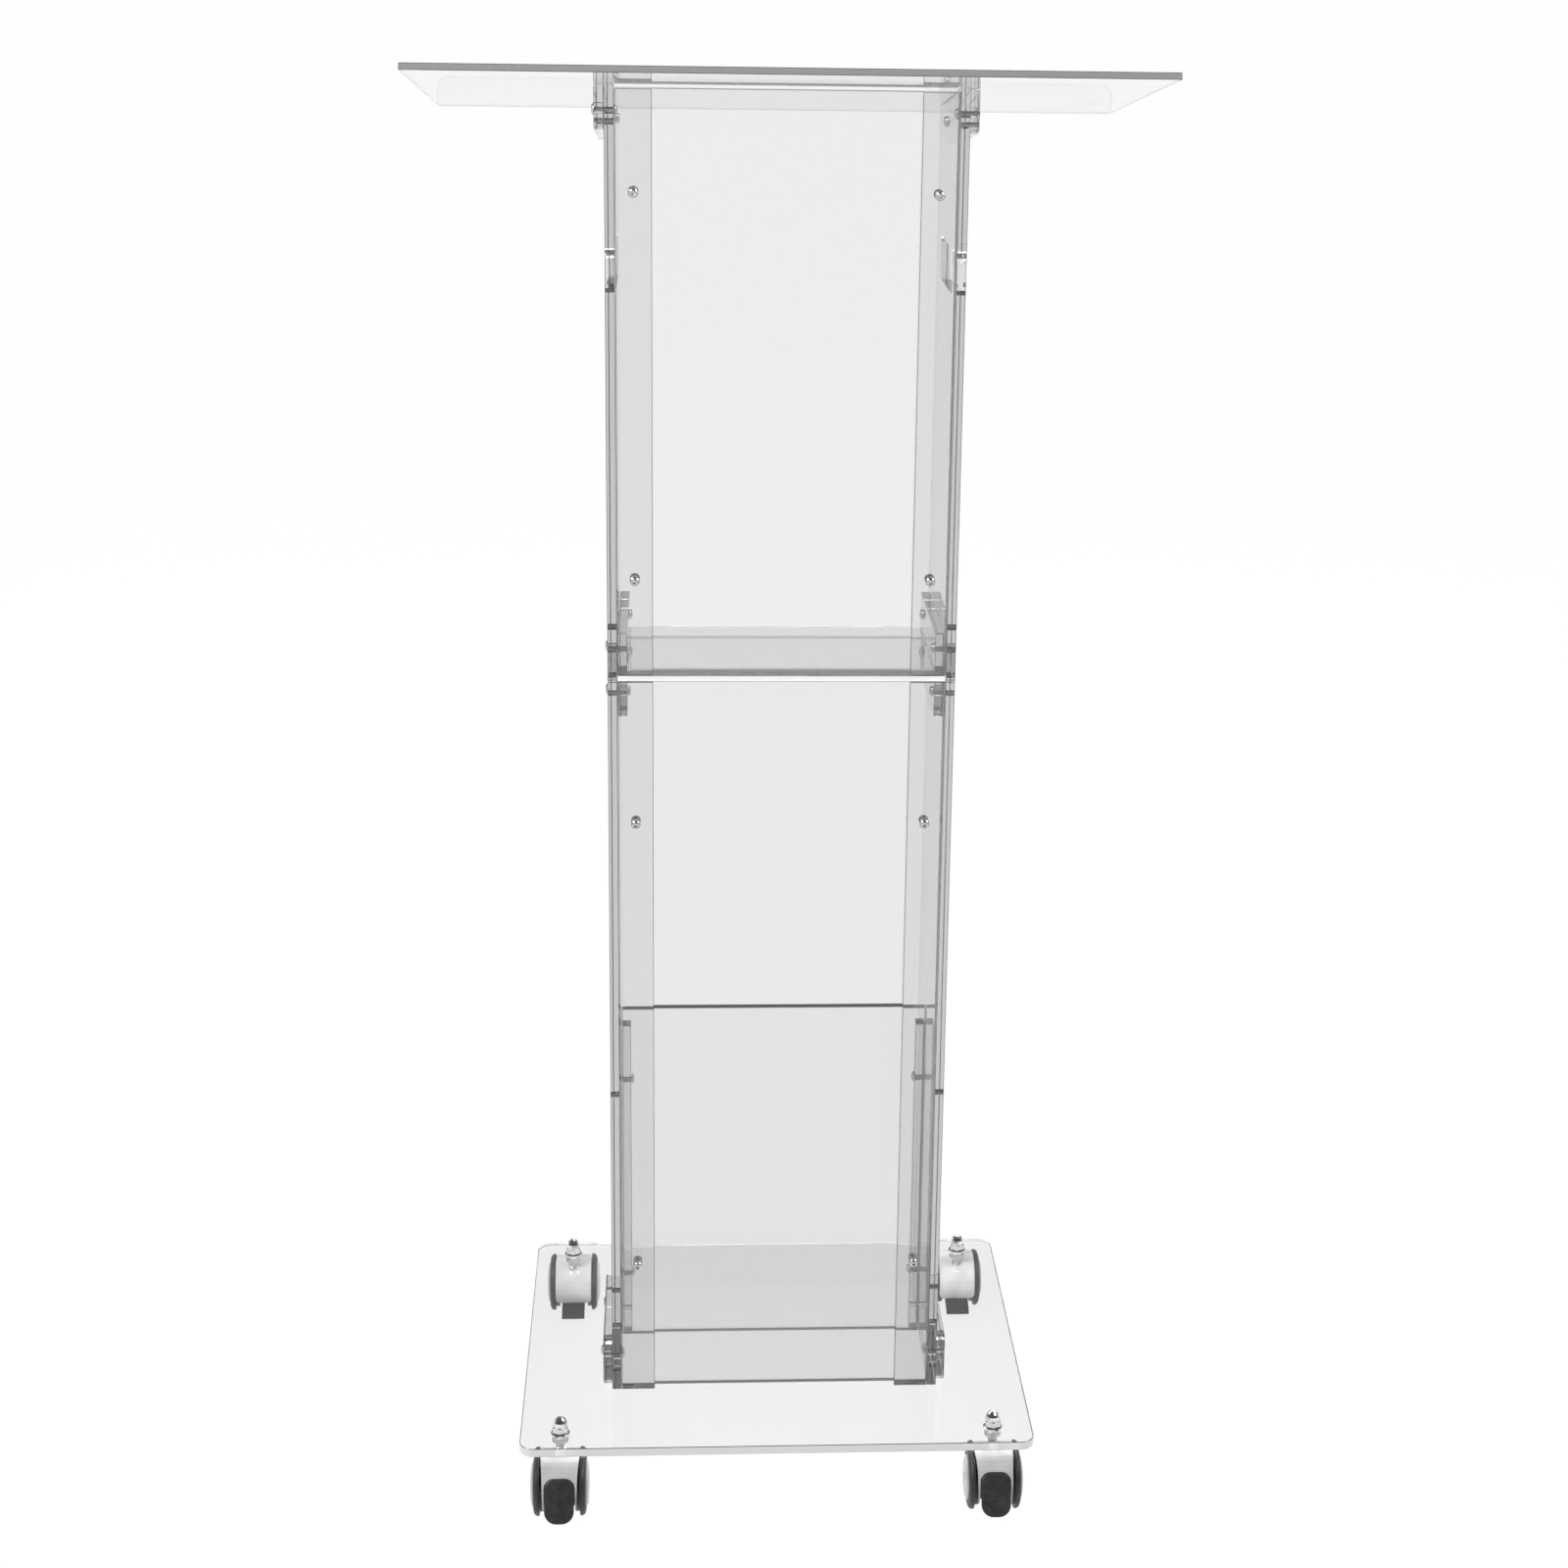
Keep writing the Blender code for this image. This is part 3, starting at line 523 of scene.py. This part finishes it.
splice_spots = [(depth, base_top + level, True) for depth in SPLICE_DEPTHS for level in SPLICE_LEVELS]
# the rear bolt of a base bracket ends blind, because a cleat stands behind it
base_spots = [
    (BRACKET_FRONT_DEPTH, base_top + BASE_BOLT_LEVEL, True),
    (BRACKET_REAR_DEPTH, base_top + BASE_BOLT_LEVEL, False),
]
cleat_spots = [(CLEAT_DEPTH, base_top + level, True) for level in CLEAT_LEVELS]
plate_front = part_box("reading_plate")[0].y
top_spots = []
for depth in (BRACKET_FRONT_DEPTH, BRACKET_REAR_DEPTH):
    past_edge = column_front + depth - plate_front
    underside = base_top + PLATE_UNDERSIDE - past_edge * math.tan(PLATE_SLOPE)
    top_spots.append((depth, underside - TOP_BOLT_DROP, True))

for side, side_name in SIDES:
    side_bolts("splice", "splice_plate", splice_spots, True, side, side_name)
    side_bolts("base_bracket", "base_bracket", base_spots, False, side, side_name)
    side_bolts("cleat", "cleat", cleat_spots, True, side, side_name)
    side_bolts("top_bracket", "top_bracket", top_spots, False, side, side_name)

# ---------------------------------------------------------------- hub covers
for corner_name in CORNERS:
    caster = "caster_" + corner_name
    for side, side_name in SIDES:
        low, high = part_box(caster + "_wheel_" + side_name)
        centre = (low + high) / 2
        face_x = high.x - HUB_RECESS if side > 0 else low.x + HUB_RECESS
        data = lathe(HUB_PROFILE, axis_place((face_x, centre.y, centre.z), (side, 0, 0)), HUB_SEGMENTS)
        hub = link_object(caster + "_hub_cover_" + side_name, data, finishes["hub"], HUB_SHARP_ANGLE)
        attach(hub, caster + "_wheels")

# ---------------------------------------------------------------- studio
floor_data = bmesh.new()
bmesh.ops.create_grid(floor_data, x_segments=8, y_segments=8, size=FLOOR_SIZE)
floor = link_object("studio_floor", floor_data, studio_floor("white_studio_floor"))


def sky_ramp(tree, height, stops):
    """Sky brightness by height."""
    ramp = tree.nodes.new("ShaderNodeValToRGB")
    tree.links.new(height, ramp.inputs["Fac"])
    elements = ramp.color_ramp.elements
    while len(elements) < len(stops):
        elements.new(0.5)
    for element, (position, level) in zip(elements, stops):
        element.position = position
        element.color = (level, level, level, 1.0)
    return ramp.outputs["Color"]


def studio_sky():
    """World with one brightness ramp behind the object and one behind the camera, blended along Y."""
    world = bpy.data.worlds.new("studio")
    world.use_nodes = True
    tree = world.node_tree
    tree.nodes.clear()
    world_out = tree.nodes.new("ShaderNodeOutputWorld")
    background = tree.nodes.new("ShaderNodeBackground")
    direction = tree.nodes.new("ShaderNodeTexCoord")
    split = tree.nodes.new("ShaderNodeSeparateXYZ")
    tree.links.new(direction.outputs["Generated"], split.inputs[0])
    blend = tree.nodes.new("ShaderNodeMapRange")
    blend.inputs["From Min"].default_value = SKY_BLEND_FROM
    blend.inputs["From Max"].default_value = SKY_BLEND_TO
    tree.links.new(split.outputs["Y"], blend.inputs["Value"])
    sky = tree.nodes.new("ShaderNodeMix")
    sky.data_type = "RGBA"
    tree.links.new(blend.outputs[0], sky.inputs[MIX_FACTOR])
    tree.links.new(sky_ramp(tree, split.outputs["Z"], SKY_BEHIND_CAMERA), sky.inputs[MIX_FIRST])
    tree.links.new(sky_ramp(tree, split.outputs["Z"], SKY_BEHIND_OBJECT), sky.inputs[MIX_SECOND])
    tree.links.new(sky.outputs[MIX_RESULT], background.inputs["Color"])
    tree.links.new(background.outputs[0], world_out.inputs["Surface"])
    return world


def softbox(name, place, target, size, power):
    """Large rectangular light aimed at a point."""
    lamp = bpy.data.lights.new(name, "AREA")
    lamp.shape = "RECTANGLE"
    lamp.size, lamp.size_y = size
    lamp.energy = power
    made = bpy.data.objects.new(name, lamp)
    made.location = place
    made.rotation_euler = (Vector(target) - Vector(place)).to_track_quat("-Z", "Y").to_euler()
    bpy.context.scene.collection.objects.link(made)


def studio_camera():
    """Camera at its fixed place, turned by yaw, pitch and roll from looking along Y."""
    data = bpy.data.cameras.new("camera")
    data.sensor_width = CAMERA_SENSOR
    data.lens = CAMERA_LENS
    data.shift_x, data.shift_y = CAMERA_SHIFT
    made = bpy.data.objects.new("camera", data)
    made.location = CAMERA_PLACE
    looking = (
        Matrix.Rotation(CAMERA_YAW, 3, "Z")
        @ Matrix.Rotation(CAMERA_PITCH, 3, "X")
        @ Matrix.Rotation(CAMERA_ROLL, 3, "Y")
        @ Matrix.Rotation(math.pi / 2, 3, "X")
    )
    made.rotation_euler = looking.to_euler()
    bpy.context.scene.collection.objects.link(made)
    return made


for lamp_name, place, target, size, power in SOFTBOXES:
    softbox(lamp_name, place, target, size, power)

scene = bpy.context.scene
scene.world = studio_sky()
scene.camera = studio_camera()
scene.view_settings.view_transform = "Standard"
scene.view_settings.look = "None"
scene.cycles.max_bounces = DEEP_BOUNCES
scene.cycles.transmission_bounces = DEEP_BOUNCES
scene.cycles.glossy_bounces = GLOSSY_BOUNCES
scene.cycles.transparent_max_bounces = DEEP_BOUNCES
